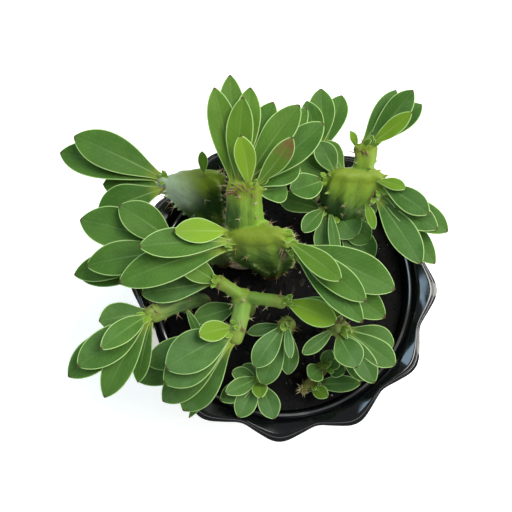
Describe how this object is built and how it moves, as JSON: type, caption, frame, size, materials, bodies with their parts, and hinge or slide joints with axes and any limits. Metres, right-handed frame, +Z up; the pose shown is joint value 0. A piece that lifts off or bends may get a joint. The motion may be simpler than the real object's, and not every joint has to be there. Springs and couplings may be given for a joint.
{
  "type": "potted african milk tree",
  "caption": "Potted crested african milk tree: fan-shaped spiny euphorbia stems with tufts of spoon-shaped leaves, in soil in a glossy black pot with a scalloped rim.",
  "frame": {"origin": "centre of the pot's flat foot, on the surface that it stands on", "axes": "+Z up out of the pot, +X to the right and +Y to the back as the reference view shows the plant"},
  "size_m": [0.2404, 0.2185, 0.2539],
  "materials": {
    "black_plastic": "gloss",
    "potting_soil": "matte",
    "green_leaf": "satin"
  },
  "bodies": {
    "root": {"pot": "black_plastic", "soil": "potting_soil", "centre_crest": "green_leaf", "left_stem": "green_leaf", "back_left_crest": "green_leaf", "front_fork": "green_leaf", "front_left_stem": "green_leaf", "right_crest": "green_leaf", "back_right_stem": "green_leaf", "front_right_stem": "green_leaf", "front_stem": "green_leaf", "low_front_stem": "green_leaf", "front_offset": "green_leaf"}
  },
  "joints": []
}
